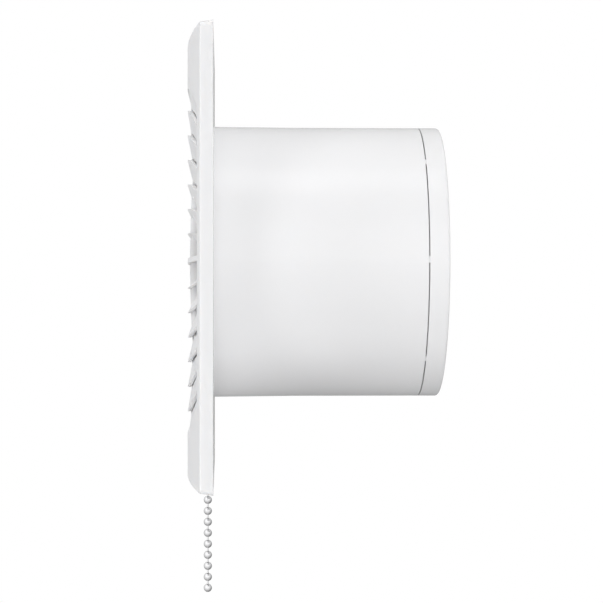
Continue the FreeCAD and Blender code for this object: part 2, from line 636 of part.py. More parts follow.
def switch_housing():
    shell = box(SWITCH_X, SWITCH_Y, SWITCH_Z)
    inside = box((SWITCH_X[0] + SWITCH_WALL, SWITCH_X[1] - SWITCH_WALL),
                 (SWITCH_Y[0] - 1, SWITCH_Y[1] - SWITCH_WALL),
                 (SWITCH_Z[0] + SWITCH_WALL, SWITCH_Z[1] - SWITCH_WALL))
    stem_hole = rod(STEM_R + GAP, V(CHAIN_X, CHAIN_Y, SWITCH_Z[0] - 1), V(CHAIN_X, CHAIN_Y, SWITCH_Z[0] + 2))
    slots = [contact_tab(z, GAP) for z in contact_tabs()]
    return shell.cut([inside, stem_hole] + slots)


def switch_cover():
    return box(SWITCH_X, (SWITCH_Y[0] - COVER_THICK, SWITCH_Y[0]), SWITCH_Z)


def head_top():
    return SWITCH_Z[1] - SWITCH_WALL - LOOSE


def pull_bar():
    wide, deep, high = BAR_HEAD
    top = head_top()
    front = CHAIN_Y - 1.6
    head = box((CHAIN_X - wide / 2, CHAIN_X + wide / 2), (front, front + deep), (top - high, top))
    stem = rod(STEM_R, V(CHAIN_X, CHAIN_Y, YOKE_TOP - GAP), V(CHAIN_X, CHAIN_Y, top - high))
    yoke = rod(YOKE_R, V(CHAIN_X, CHAIN_Y, YOKE_BOTTOM), V(CHAIN_X, CHAIN_Y, YOKE_TOP))
    hollow = Part.makeSphere(BEAD_R + GAP, V(CHAIN_X, CHAIN_Y, BEAD_TOP))
    mouth = rod(BEAD_HOLE_R + GAP, V(CHAIN_X, CHAIN_Y, YOKE_BOTTOM - 1), V(CHAIN_X, CHAIN_Y, BEAD_TOP))
    return joined([head, stem, yoke]).cut([hollow, mouth])


def bridge_contact():
    """Brass leaf on the right end of the bar's head."""
    x = CHAIN_X + BAR_HEAD[0] / 2
    top = head_top()
    return box((x, x + CONTACT_THICK), (CHAIN_Y - 0.9, CHAIN_Y + 0.9), (top - 5.2, top - 0.2))


def contact_tabs():
    """Heights of the two tabs that leave the switch."""
    return (SWITCH_Z[1] - 3.2, SWITCH_Z[0] + 3.0)


def contact_tab(z, extra):
    reach = (SWITCH_X[1] - SWITCH_WALL - 0.3, SWITCH_X[1] + 1.2 + extra)
    return box(reach, (CHAIN_Y - 0.3 - extra, CHAIN_Y + 0.3 + extra), (z - 0.8 - extra, z + 0.8 + extra))


def fixed_contacts():
    wall = SWITCH_X[1] - SWITCH_WALL
    middle = (contact_tabs()[0] + contact_tabs()[1]) / 2
    low, high = SWITCH_Z[0] + SWITCH_WALL + 0.2, SWITCH_Z[1] - SWITCH_WALL - 0.2
    spans = ((middle + 0.3, high), (low, middle - 0.3))
    strips = [box((wall - CONTACT_THICK, wall), (CHAIN_Y - 0.9, CHAIN_Y + 0.9), span) for span in spans]
    return [joined([strip, contact_tab(z, 0)]) for strip, z in zip(strips, contact_tabs())]


def switch_spring():
    floor, ceiling = SWITCH_Z[0] + SWITCH_WALL, head_top() - BAR_HEAD[2]
    pitch = (ceiling - floor - 2 * SPRING_WIRE - 2 * GAP) / SPRING_TURNS
    start = V(CHAIN_X, CHAIN_Y, floor + SPRING_WIRE + GAP)
    return coil(SPRING_R, SPRING_WIRE, pitch, SPRING_TURNS, start)


# Terminal block, grommet and leads

def pole_cuts(x):
    """Cavity, screw well and wire entries of one pole."""
    wide, deep, high = (size + 2 * GAP for size in CLAMP)
    mid = (BLOCK_Z[0] + BLOCK_Z[1]) / 2
    front = WIRE_Y - deep / 2
    return [box((x - wide / 2, x + wide / 2), (front, front + deep), (mid - high / 2, mid + high / 2)),
            rod_y(CLAMP_SCREW_HEAD_R + GAP, BLOCK_Y[0] - 1, front + GAP, x, mid),
            rod(ENTRY_R, V(x, WIRE_Y, BLOCK_Z[0] - 1), V(x, WIRE_Y, BLOCK_Z[1] + 1))]


def terminal_block():
    cuts = [cut for x in POLES for cut in pole_cuts(x)]
    return box((-BLOCK_HALF, BLOCK_HALF), BLOCK_Y, BLOCK_Z).cut(cuts)


def terminal_clamps():
    wide, deep, high = CLAMP
    mid = (BLOCK_Z[0] + BLOCK_Z[1]) / 2
    clamps = []
    for x in POLES:
        block = box((x - wide / 2, x + wide / 2), (WIRE_Y - deep / 2, WIRE_Y + deep / 2),
                    (mid - high / 2, mid + high / 2))
        wire_hole = rod(ENTRY_R, V(x, WIRE_Y, BLOCK_Z[0]), V(x, WIRE_Y, BLOCK_Z[1]))
        clamps.append(block.cut([wire_hole, rod_y(CLAMP_SCREW_R, BLOCK_Y[0], WIRE_Y, x, mid)]))
    return clamps


def terminal_screws():
    mid = (BLOCK_Z[0] + BLOCK_Z[1]) / 2
    front = WIRE_Y - CLAMP[1] / 2
    screws = []
    for x in POLES:
        shank = rod_y(CLAMP_SCREW_R, front - 0.2, WIRE_Y - ENTRY_R + 0.2, x, mid)
        head = rod_y(CLAMP_SCREW_HEAD_R, front - 1.4, front - 0.2, x, mid)
        slot = box((x - 0.3, x + 0.3), (front - 2, front - 0.9), (mid - 3, mid + 3))
        screws.append(joined([shank, head]).cut(slot))
    return screws


def cable_grommet():
    """Rubber ring in the plate's cable hole, flush with the wall."""
    web = PLATE_THICK / 2
    ring = spun([(GROMMET_BORE, -PLATE_THICK - 1), (GROMMET_FLANGE, -PLATE_THICK - 1),
                 (GROMMET_FLANGE, -PLATE_THICK), (GROMMET_R, -PLATE_THICK), (GROMMET_R, -web),
                 (GROMMET_FLANGE, -web), (GROMMET_FLANGE, -GAP), (GROMMET_BORE, -GAP)])
    ring.translate(V(GROMMET_X, 0, GROMMET_Z))
    return ring


def motor_lead(pole, x):
    """Lead from a pole of the block along the shroud groove, at x there, to the windings."""
    groove = -(SHROUD_R + LEAD_R + GAP)
    top = BLOCK_Z[1]
    rise = groove - top
    return lead([(pole, WIRE_Y, top - 1.5), (pole, WIRE_Y, top + 0.25 * rise), (x, WIRE_Y, top + 0.6 * rise),
                 (x, WIRE_Y, groove), (x, LEAD_Y - 7, groove), (x, LEAD_Y, (groove - WINDING_OUT) / 2),
                 (x, LEAD_Y, -WINDING_OUT - 0.15)])


def switch_leads():
    """Leads from the switch tabs to the left pole from above and to the middle pole from below."""
    high, low = contact_tabs()
    tab, bend = SWITCH_X[1] + 1.4, SWITCH_X[1] + 13
    above, below = BLOCK_Z[1] + 3.2, BLOCK_Z[0] - 1.4
    upper = [(tab, CHAIN_Y, high), (bend, CHAIN_Y, high), (-BLOCK_HALF - 2, CHAIN_Y, above),
             (POLES[0], WIRE_Y, above), (POLES[0], WIRE_Y, BLOCK_Z[1] - 1)]
    lower = [(tab, CHAIN_Y, low), (bend, CHAIN_Y, low), (-BLOCK_HALF - 5, CHAIN_Y, below),
             (POLES[1], WIRE_Y, below), (POLES[1], WIRE_Y, BLOCK_Z[0] + 1)]
    return [lead(upper), lead(lower)]


def save(name, shape):
    solids = shape if isinstance(shape, list) else [shape]
    Part.makeCompound([s for one in solids for s in one.Solids]).exportStep("parts/%s.step" % name)


def main():
    os.makedirs("parts", exist_ok=True)
    save("front_panel", front_panel())
    save("base_plate", base_plate())
    save("duct_spigot", duct_spigot())
    save("valve_ring", valve_ring())
    save("valve_flap_left", valve_flap(-1))
    save("valve_flap_right", valve_flap(1))
    save("flap_hinge_pin", hinge_pin())
    save("flap_spring", flap_spring())
    save("motor_cradle", motor_cradle())
    save("motor_end_cap", motor_end_cap())
    save("end_cap_screws", end_cap_screws())
    save("front_bush", bush(FRONT_BUSH))
    save("rear_bush", bush(REAR_BUSH))
    save("stator_stack", stator_stack())
    save("stator_windings", stator_windings())
    save("rotor", rotor())
    save("motor_shaft", motor_shaft())
    save("shaft_clip", shaft_clip())
    save("thrust_washer", thrust_washer())
    save("impeller", impeller())
    save("switch_housing", switch_housing())
    save("switch_cover", switch_cover())
    save("pull_bar", pull_bar())
    save("bridge_contact", bridge_contact())
    save("fixed_contacts", fixed_contacts())
    save("switch_spring", switch_spring())
    save("chain_anchor", [bead(0), bead(1), link(0)])
    save("chain_beads", [bead(i) for i in range(2, BEADS)])
    save("chain_links", [link(i) for i in range(1, BEADS - 1)])
    save("terminal_block", terminal_block())
    save("terminal_clamps", terminal_clamps())
    save("terminal_screws", terminal_screws())
    save("cable_grommet", cable_grommet())
    save("motor_lead_live", motor_lead(POLES[1], -0.9))
    save("motor_lead_neutral", motor_lead(POLES[2], 0.9))
    save("switch_leads", switch_leads())


main()
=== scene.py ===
"""Looks of a wall-mounted extractor fan: louvre panel, duct spigot, backdraught valve, motor and ball chain.

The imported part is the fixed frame. Sizes are in millimetres, in the part's own axes: +Y runs along the duct
into the wall, +Z is up and +X is right seen from the room. Meshes are written in metres.
"""

import json
import logging
import math
from dataclasses import dataclass, field
from enum import Enum

import bpy
import numpy as np
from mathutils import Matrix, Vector


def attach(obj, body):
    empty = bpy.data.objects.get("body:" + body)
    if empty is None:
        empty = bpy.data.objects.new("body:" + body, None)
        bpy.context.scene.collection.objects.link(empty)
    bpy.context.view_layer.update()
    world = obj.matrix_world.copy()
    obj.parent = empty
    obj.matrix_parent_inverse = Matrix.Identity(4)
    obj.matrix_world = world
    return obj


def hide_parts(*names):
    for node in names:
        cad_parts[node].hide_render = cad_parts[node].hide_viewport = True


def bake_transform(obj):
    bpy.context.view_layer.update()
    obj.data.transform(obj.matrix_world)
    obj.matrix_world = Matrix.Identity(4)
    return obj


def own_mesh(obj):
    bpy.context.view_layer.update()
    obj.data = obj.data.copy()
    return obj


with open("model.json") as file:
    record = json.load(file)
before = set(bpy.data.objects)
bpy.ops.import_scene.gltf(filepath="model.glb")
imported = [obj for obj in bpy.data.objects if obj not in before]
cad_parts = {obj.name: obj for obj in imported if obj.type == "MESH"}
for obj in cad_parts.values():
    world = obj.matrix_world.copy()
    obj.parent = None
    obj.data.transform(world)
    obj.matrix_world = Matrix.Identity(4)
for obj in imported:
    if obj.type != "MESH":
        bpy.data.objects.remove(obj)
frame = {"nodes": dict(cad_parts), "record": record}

log = logging.getLogger("extractor_fan")

MM = 0.001
FULL_TURN = 2 * np.pi
Socket = bpy.types.NodeSocket


class Body(Enum):
    """Bodies of the part that new pieces ride on."""

    HOUSING = "housing"
    FLAP_LEFT = "flap_left"
    FLAP_RIGHT = "flap_right"


# Materials

WHITE = (1.0, 1.0, 1.0, 1.0)
# Octaves of the noise in the soft patches, in a moulded grain and in fibres
PATCH_DETAIL = 3.0
GRAIN_DETAIL = 2.0
FIBRE_DETAIL = 4.0
# Rays that round an edge in the shading
EDGE_SAMPLES = 4
# Travel of red, green and blue light inside plastic, as shares of a finish's soft_mm
SOFT_TRAVEL = (1.0, 0.95, 0.9)
# Length of a fibre in widths
FIBRE_LENGTH = 8.0


def linear(hex_colour: str) -> tuple[float, float, float, float]:
    """Turns an sRGB hex colour into linear RGBA, by the curve of the sRGB standard.

    Args:
        hex_colour: Colour such as "f2f2f0".

    Returns:
        Linear red, green, blue and an alpha of 1.
    """
    channels = [int(hex_colour[i:i + 2], 16) / 255 for i in (0, 2, 4)]
    return tuple(c / 12.92 if c <= 0.04045 else ((c + 0.055) / 1.055) ** 2.4 for c in channels) + (1.0,)


def add_node(tree: bpy.types.NodeTree, kind: str, values: dict | None = None, links: dict | None = None,
             **settings) -> bpy.types.Node:
    """Adds a shader node with its settings and links.

    A Mix node has its share in socket 0, two numbers in sockets 2 and 3 and two colours in sockets 6 and 7.
    A Map Range node has the range that it reads in sockets 1 and 2 and the range that it gives in 3 and 4.

    Args:
        tree: Node tree of a material or of the world.
        kind: Blender's node type without its ShaderNode prefix.
        values: Values of unlinked inputs, by socket name or number.
        links: Output sockets that feed the inputs, by socket name or number.
        settings: The node's own attributes.

    Returns:
        The new node.
    """
    node = tree.nodes.new("ShaderNode" + kind)
    for key, value in settings.items():
        setattr(node, key, value)
    for key, value in (values or {}).items():
        node.inputs[key].default_value = value
    for key, source in (links or {}).items():
        tree.links.new(source, node.inputs[key])
    return node


@dataclass(frozen=True)
class Finish:
    """A surface made of one real material.

    Colour drifts between two close tones in soft patches and the roughness drifts with it. A fine grain
    gives the bump. Subclasses replace the grain with the mark that their own making leaves.
    """

    name: str
    colour: str
    second: str
    roughness: float
    patch_mm: float = 30.0
    spread: float = 0.06
    grain_mm: float = 0.5
    grain_depth_mm: float = 0.004
    edge_mm: float = 0.3
    metallic: float = 0.0
    ior: float = 1.5
    soft: float = 0.0
    soft_mm: float = 0.4

    def material(self) -> bpy.types.Material:
        """Builds the material.

        Returns:
            A new node material.
        """
        material = bpy.data.materials.new(self.name)
        material.use_nodes = True
        tree = material.node_tree
        tree.nodes.clear()
        place = add_node(tree, "TexCoord").outputs["Object"]
        patches = add_node(tree, "TexNoise", {"Scale": 1 / (self.patch_mm * MM), "Detail": PATCH_DETAIL},
                           {"Vector": place})
        drift = patches.outputs["Fac"]
        tones = add_node(tree, "Mix", {6: linear(self.colour), 7: linear(self.second)},
                         {0: self.tone(tree, place, drift)}, data_type="RGBA")
        rough = add_node(tree, "MapRange", {3: self.roughness - self.spread, 4: self.roughness + self.spread},
                         {0: drift})
        edge = add_node(tree, "Bevel", {"Radius": self.edge_mm * MM}, samples=EDGE_SAMPLES)
        bump = add_node(tree, "Bump", {"Strength": 1.0, "Distance": self.grain_depth_mm * MM},
                        {"Height": self.grain(tree, place), "Normal": edge.outputs["Normal"]})
        shader = add_node(
            tree, "BsdfPrincipled",
            {"Metallic": self.metallic, "IOR": self.ior, "Subsurface Weight": self.soft,
             "Subsurface Radius": SOFT_TRAVEL, "Subsurface Scale": self.soft_mm * MM},
            {"Base Color": tones.outputs[2], "Roughness": rough.outputs[0], "Normal": bump.outputs["Normal"]})
        add_node(tree, "OutputMaterial", links={"Surface": self.surface(tree, place, shader.outputs["BSDF"])})
        return material

    def tone(self, tree: bpy.types.NodeTree, place: Socket, drift: Socket) -> Socket:
        """Share of the second tone: the soft patches themselves."""
        return drift

    def surface(self, tree: bpy.types.NodeTree, place: Socket, shader: Socket) -> Socket:
        """What the eye sees: the shader alone."""
        return shader

    def grain(self, tree: bpy.types.NodeTree, place: Socket) -> Socket:
        """Height of the fine grain: even noise at the grain size."""
        noise = add_node(tree, "TexNoise", {"Scale": 1 / (self.grain_mm * MM), "Detail": GRAIN_DETAIL},
                         {"Vector": place})
        return noise.outputs["Fac"]


@dataclass(frozen=True)
class MarkedFinish(Finish):
    """A finish whose second tone lies in the marks of its grain."""

    def tone(self, tree: bpy.types.NodeTree, place: Socket, drift: Socket) -> Socket:
        """Share of the second tone: the height of the grain."""
        return self.grain(tree, place)


@dataclass(frozen=True)
class StackedSheets(MarkedFinish):
    """Steel punchings pressed into a stack: fine dark lines across the stack's axis, one for each sheet."""

    sheet_mm: float = 1.0

    def grain(self, tree: bpy.types.NodeTree, place: Socket) -> Socket:
        """Height that dips between one sheet and the next; a wave of scale 1 has 10 / pi bands in a metre."""
        wave = add_node(tree, "TexWave", {"Scale": math.pi / (10 * self.sheet_mm * MM)}, {"Vector": place},
                        bands_direction="Y")
        return wave.outputs["Fac"]


@dataclass(frozen=True)
class Porous(MarkedFinish):
    """Pressed and sintered metal powder: small dark pores between the grains."""

    def grain(self, tree: bpy.types.NodeTree, place: Socket) -> Socket:
        """Height that changes from the middle of each round cell to its rim."""
        cells = add_node(tree, "TexVoronoi", {"Scale": 1 / (self.grain_mm * MM)}, {"Vector": place})
        return cells.outputs["Distance"]


@dataclass(frozen=True)
class Fibrous(MarkedFinish):
    """Pressed fibre sheet: long flecks that lie in the sheet's plane."""

    def grain(self, tree: bpy.types.NodeTree, place: Socket) -> Socket:
        """Height of the flecks: noise drawn out along X.

        Args:
            tree: The material's node tree.
            place: Object coordinates.

        Returns:
            The height's socket.
        """
        drawn = add_node(tree, "Mapping", {"Scale": (1 / FIBRE_LENGTH, 1.0, 1.0)}, {"Vector": place})
        noise = add_node(tree, "TexNoise", {"Scale": 1 / (self.grain_mm * MM), "Detail": FIBRE_DETAIL},
                         {"Vector": drawn.outputs["Vector"]})
        return noise.outputs["Fac"]


@dataclass(frozen=True)
class FadingBoard(Finish):
    """Painted board that fades into the white of the room with distance, and is clear from below."""

    near_mm: float = 220.0
    far_mm: float = 560.0

    def surface(self, tree: bpy.types.NodeTree, place: Socket, shader: Socket) -> Socket:
        """Board near the fan, even white far from it, nothing on its underside.

        Args:
            tree: The material's node tree.
            place: Object coordinates.
            shader: The painted board itself.

        Returns:
            The shader's socket.
        """
        reach = add_node(tree, "VectorMath", {1: (1, 1, 0)}, {0: place}, operation="MULTIPLY")
        away = add_node(tree, "VectorMath", links={0: reach.outputs["Vector"]}, operation="LENGTH")
        share = add_node(tree, "MapRange", {1: self.near_mm * MM, 2: self.far_mm * MM},
                         {0: away.outputs["Value"]}, interpolation_type="SMOOTHSTEP")
        white = add_node(tree, "Emission", {"Color": WHITE, "Strength": 1.0})
        top = add_node(tree, "MixShader", links={0: share.outputs[0], 1: shader, 2: white.outputs[0]})
        under = add_node(tree, "NewGeometry").outputs["Backfacing"]
        clear = add_node(tree, "BsdfTransparent")
        seen = add_node(tree, "MixShader", links={0: under, 1: top.outputs[0], 2: clear.outputs[0]})
        return seen.outputs[0]


# A spark-eroded mould leaves a grain of about 0.05 mm. That is too fine to show, so it is drawn at 0.5 mm and
# shallow.
FINISHES: dict[str, Finish] = {
    # ABS from a satin mould: an even, slightly grey white with wide soft highlights and no sharp mirror.
    # Light comes through its thin blades, so that the slots between them aren't dark.
    "panel_abs": Finish("moulded_abs_white_satin", "e8e8e9", "e5e5e6", 0.42, ior=1.54, soft=0.8, soft_mm=3.0),
    # ABS from a polished mould: a brighter white that mirrors the lights as soft bands along the duct.
    "body_abs": Finish("moulded_abs_white_gloss", "f2f2f3", "efeff0", 0.18, spread=0.03, ior=1.54, soft=0.15,
                       grain_depth_mm=0.002),
    # Thin polypropylene: milky, with edges that light soaks into and a waxy sheen.
    "flap_film": Finish("moulded_polypropylene_milky", "ecedeb", "e4e6e5", 0.46, ior=1.49, soft=0.4),
    # ABS with grey pigment: a cool light grey that keeps the blades apart from the white parts round them.
    "impeller_abs": Finish("moulded_abs_light_grey", "d9dbdc", "d2d4d6", 0.4, ior=1.54, soft=0.1),
    # ABS from an unpolished mould: a warm, dull white with hardly any highlight.
    "cradle_abs": Finish("moulded_abs_white_matt", "ededeb", "e7e7e5", 0.5, ior=1.54, soft=0.1),
    # Nylon without pigment: cloudy cream that light enters, so that its edges look soft.
    "switch_nylon": Finish("moulded_nylon_natural", "e6e2d6", "dcd8ca", 0.5, ior=1.53, soft=0.3,
                           patch_mm=6.0),
    # Nylon with a little white pigment: milkier and cooler than the natural kind, with more sheen.
    "terminal_nylon": Finish("moulded_nylon_milk", "e3e2da", "d8d6cb", 0.45, ior=1.53, soft=0.3,
                             patch_mm=6.0),
    # Extruded PVC sleeve: one deep colour with a thin soft highlight along the lead.
    "lead_brown": Finish("extruded_pvc_brown", "5e3a26", "51301e", 0.45, ior=1.53, patch_mm=5.0),
    # The same sleeve in the other colour of the pair.
    "lead_blue": Finish("extruded_pvc_blue", "2b5ca6", "244f92", 0.45, ior=1.53, patch_mm=5.0),
    # Moulded rubber: near black and dull, with a dry grain that breaks up what little it mirrors.
    "grommet_rubber": Finish("moulded_rubber_black", "232323", "2d2d2c", 0.7, ior=1.52, grain_depth_mm=0.02),
    # Pressed fibre: a dry brown card with long flecks and no gloss.
    "washer_fibre": Fibrous("pressed_fibre_brown", "8d6a47", "6e5034", 0.75, grain_mm=0.25,
                            grain_depth_mm=0.02),
    # Steel rolled into beads and nickel plated in a barrel: a pale mirror, blurred by fine scuffs, with dark
    # rims.
    "chain_nickel": Finish("rolled_steel_nickel_plated", "e4e4e5", "dadadb", 0.22, patch_mm=0.8, grain_mm=0.3,
                           metallic=1.0, edge_mm=0.08),
    # Turned steel with clear zinc: a bluish grey that mirrors in blurred patches.
    "zinc_steel": Finish("turned_steel_zinc_plated", "b9bbbe", "a4a7ab", 0.32, patch_mm=2.0, metallic=1.0,
                         edge_mm=0.1),
    # Drawn wire: a darker grey with a bright line along each turn.
    "spring_steel": Finish("drawn_steel_wire", "a7a8aa", "8b8c8f", 0.28, patch_mm=1.0, metallic=1.0,
                           edge_mm=0.05),
    # Stamped brass: yellow metal, duller in spots where it has begun to tarnish.
    "contact_brass": Finish("stamped_brass", "cda959", "b98f45", 0.3, patch_mm=1.5, metallic=1.0,
                            edge_mm=0.08),
    # Copper under clear enamel: red-brown and glossy, with a highlight on every strand.
    "copper_wire": Finish("enamelled_copper_wire", "b1622f", "8f4a22", 0.3, patch_mm=1.2, metallic=1.0,
                          edge_mm=0.05),
    # Sintered bronze: dull gold with dark pores. They are about 0.05 mm wide and drawn at 0.35 mm, to show.
    "bronze": Porous("sintered_bronze", "a5773f", "7d5528", 0.5, grain_mm=0.35, grain_depth_mm=0.03,
                     metallic=1.0),
    # Punched sheets in a stack: dark grey with a line for each sheet. A sheet is 0.5 mm thick and drawn at
    # 1 mm, to show.
    "lamination_steel": StackedSheets("punched_electrical_steel", "80838a", "53565b", 0.45, metallic=1.0,
                                      grain_depth_mm=0.08, edge_mm=0.05),
}


class Wardrobe:
    """Makes each finish once and puts it on CAD nodes and new pieces."""

    def __init__(self) -> None:
        """Reads which material slot each CAD node has."""
        self.slots: dict[str, str] = {p["node"]: p["material_slot"] for p in frame["record"]["subparts"]}
        self.made: dict[str, bpy.types.Material] = {}

    def finish(self, slot: str) -> bpy.types.Material:
        """Material of a slot, made at its first use.

        Args:
            slot: Material slot name.

        Returns:
            The slot's material.
        """
        if slot not in self.made:
            self.made[slot] = FINISHES[slot].material()
        return self.made[slot]

    def dress_nodes(self, names: tuple[str, ...]) -> None:
        """Puts each CAD node into its slot's finish.

        Args:
            names: CAD node names.
        """
        for name in names:
            node = frame["nodes"][name]
            node.data.materials.clear()
            node.data.materials.append(self.finish(self.slots[name]))
            log.info("dressed %s as %s", name, node.data.materials[0].name)

    def dress_piece(self, piece: bpy.types.Object, stands_for: str) -> None:
        """Gives a new piece the finish of the CAD node that it replaces.

        Args:
            piece: The new piece.
            stands_for: CAD node name.
        """
        slot = self.slots[stands_for]
        piece.data.materials.append(self.finish(slot))
        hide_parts(stands_for)
        log.info("made %s in place of %s, %d faces", piece.name, stands_for, len(piece.data.polygons))


# Surfaces


@dataclass
class Surface:
    """Points and faces of a mesh, in millimetres."""

    points: np.ndarray
    quads: np.ndarray
    caps: list[np.ndarray] = field(default_factory=list)

    def piece(self, name: str) -> bpy.types.Object:
        """Makes a smooth-shaded object at the origin, with its faces outwards.

        Args:
            name: Object name.

        Returns:
            The object, linked to the scene.
        """
        faces = self.quads.tolist() + [cap.tolist() for cap in self.caps]
        mesh = bpy.data.meshes.new(name)
        mesh.from_pydata((self.points * MM).tolist(), [], faces)
        mesh.polygons.foreach_set("use_smooth", np.ones(len(faces), bool))
        mesh.validate()
        mesh.update()
        made = bpy.data.objects.new(name, mesh)
        bpy.context.scene.collection.objects.link(made)
        return made


def grid_surface(points: np.ndarray, capped: bool = True) -> Surface:
    """Closed surface on a grid whose second direction goes round.

    Point (i, j) joins (i + 1, j) and (i, j + 1), and the last j joins the first. A flat cap of many sides
    closes each end, unless the first direction goes round too.

    Args:
        points: Array of shape (along, round, 3).
        capped: False where the first direction goes round, as on a ring.

    Returns:
        The surface.
    """
    along, around = points.shape[:2]
    index = np.arange(along * around).reshape(along, around)
    here = index[:-1] if capped else index
    ahead = index[1:] if capped else np.roll(index, -1, axis=0)
    corners = [here, ahead, np.roll(ahead, -1, axis=1), np.roll(here, -1, axis=1)]
    quads = np.stack(corners, axis=-1).reshape(-1, 4)
    caps = [index[0], index[-1][::-1]] if capped else []
    surface = Surface(points.reshape(-1, 3), quads, caps)
    if volume(surface) > 0:
        return surface
    return Surface(surface.points, quads[:, ::-1], [cap[::-1] for cap in caps])


def volume(surface: Surface) -> float:
    """Signed volume inside a surface's quads.

    Each quad is two triangles. The triple products of their corners are added up and divided by six.

    Args:
        surface: Surface in millimetres.

    Returns:
        Cubic millimetres, above zero where faces point outwards.
    """
    a, b, c, d = (surface.points[surface.quads[:, k]] for k in range(4))
    return float((np.cross(a, b) * c + np.cross(a, c) * d).sum() / 6)


def merged(surfaces: list[Surface]) -> Surface:
    """Several surfaces as one mesh.

    Args:
        surfaces: Surfaces to put together.

    Returns:
        One surface with all their points and faces.
    """
    starts = np.cumsum([0] + [len(s.points) for s in surfaces[:-1]])
    return Surface(np.concatenate([s.points for s in surfaces]),
                   np.concatenate([s.quads + k for s, k in zip(surfaces, starts)]),
                   [cap + k for s, k in zip(surfaces, starts) for cap in s.caps])


def round_angles(count: int) -> np.ndarray:
    """Even angles round a full turn, in radians, with the last one short of the first."""
    return np.linspace(0, FULL_TURN, count, endpoint=False)


def boxed(wave: np.ndarray, power: float) -> np.ndarray:
    """Sine or cosine bent towards a square wave: its size to a power, with its sign kept."""
    return np.sign(wave) * np.abs(wave) ** power


def wire(path: np.ndarray, radius: float | np.ndarray, sides: int = 12) -> Surface:
    """Round wire along a path that is nowhere upright.

    At each point the circle lies across the path: one axis is level, at right angles to the path, and the
    other is at right angles to both.

    Args:
        path: Points of shape (n, 3).
        radius: Wire radius, one for all or one for each point.
        sides: Points round the wire.

    Returns:
        The wire's surface.
    """
    tangent = np.gradient(path, axis=0)
    tangent /= np.linalg.norm(tangent, axis=1, keepdims=True)
    level = np.cross([0.0, 0.0, 1.0], tangent)
    level /= np.linalg.norm(level, axis=1, keepdims=True)
    steep = np.cross(tangent, level)
    turn = round_angles(sides)[None, :, None]
    across = np.cos(turn) * level[:, None] + np.sin(turn) * steep[:, None]
    return grid_surface(path[:, None] + np.broadcast_to(radius, len(path))[:, None, None] * across)


def helix(centre: tuple[float, float, float], radius: float, pitch: float, turns: np.ndarray) -> np.ndarray:
    """Points of an upright helix.

    The angle starts towards +Y and grows with the turn, and the height grows by the pitch in each turn.

    Args:
        centre: Middle of the helix at turn 0.
        radius: Radius to the wire's middle.
        pitch: Rise in one turn.
        turns: Turn count of each point.

    Returns:
        Points of shape (n, 3).
    """
    angle = np.pi / 2 + FULL_TURN * turns
    steps = np.stack([radius * np.cos(angle), radius * np.sin(angle), pitch * turns], axis=1)
    return np.array(centre) + steps


# Sub-assemblies


@dataclass
class SubAssembly:
    """CAD nodes that belong together, and the new pieces that go with them."""

    nodes: tuple[str, ...] = ()

    def dress(self, wardrobe: Wardrobe) -> None:
        """Puts on the CAD nodes' finishes."""
        wardrobe.dress_nodes(self.nodes)

    def build(self, wardrobe: Wardrobe) -> None:
        """Makes the new pieces, where a sub-assembly has any."""


@dataclass
class FrontCover(SubAssembly):
    """Louvre panel with its snap hooks."""

    nodes: tuple[str, ...] = ("front_panel",)


@dataclass
class DuctBody(SubAssembly):
    """Base plate and duct spigot, with the grommet for the house cable."""

    nodes: tuple[str, ...] = ("base_plate", "duct_spigot", "cable_grommet")


@dataclass
class BackdraughtValve(SubAssembly):
    """Ring with two flaps on an upright pin, and the torsion spring that shuts them.

    The spring's leg is given by its distance out from the pin and its distance behind it: three dip points,
    then a straight run to the leg's end.
    """

    nodes: tuple[str, ...] = ("valve_ring", "valve_flap_left", "valve_flap_right", "flap_hinge_pin")
    hinge_y: float = 74.5
    coil_radius: float = 1.9
    wire_radius: float = 0.3
    pitch: float = 1.2
    turns: float = 4.0
    leg: float = 8.0
    leg_radius: float = 0.19
    lead_on: float = 4.0
    lead_off: float = 40.0
    dip: tuple[tuple[float, float], ...] = ((1.5, 1.22), (2.4, 0.3), (3.4, 0.85))
    run_start: float = 0.1
    coil_points: int = 97
    lead_points: int = 10
    dip_points: int = 15
    run_points: int = 8

    def half_spring(self, side: int) -> Surface:
        """Half the spring: two turns from the middle outwards, then a leg that dips and runs along its flap.

        The leg leaves the coil on an arc, follows a quadratic curve through the three dip points and ends
        straight. There the wire thins, so that both legs fit between the open flaps.

        Args:
            side: -1 for the lower half, 1 for the upper one.

        Returns:
            The wire's surface.
        """
        half = self.turns / 2
        turns = side * np.linspace(0, half, self.coil_points)
        coil = helix((0, self.hinge_y, 0), self.coil_radius, self.pitch, turns)
        lead = np.radians(np.linspace(self.lead_on, self.lead_off, self.lead_points))
        arc = self.coil_radius * np.stack([np.sin(lead), np.cos(lead)], axis=1)
        t = np.linspace(0, 1, self.dip_points)[:, None]
        start, corner, finish = np.array(self.dip)
        curve = (1 - t) ** 2 * start + 2 * t * (1 - t) * corner + t ** 2 * finish
        share = np.linspace(self.run_start, 1, self.run_points)[:, None]
        run = finish + share * (np.array([self.leg, finish[1]]) - finish)
        flat = np.concatenate([arc, curve, run])
        height = np.full(len(flat), side * half * self.pitch)
        leg = np.stack([-side * flat[:, 0], self.hinge_y + flat[:, 1], height], axis=1)
        reach = np.concatenate([np.zeros(len(coil)), flat[:, 0]])
        radius = np.interp(reach, (arc[0, 0], start[0]), (self.wire_radius, self.leg_radius))
        return wire(np.concatenate([coil, leg]), radius)

    def build(self, wardrobe: Wardrobe) -> None:
        """Makes the spring in two halves, an upper and a lower one.

        Args:
            wardrobe: Source of the finishes.
        """
        halves = (("flap_spring_lower", -1, Body.FLAP_RIGHT), ("flap_spring_upper", 1, Body.FLAP_LEFT))
        for name, side, flap in halves:
            piece = self.half_spring(side).piece(name)
            wardrobe.dress_piece(piece, "flap_spring")
            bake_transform(piece)


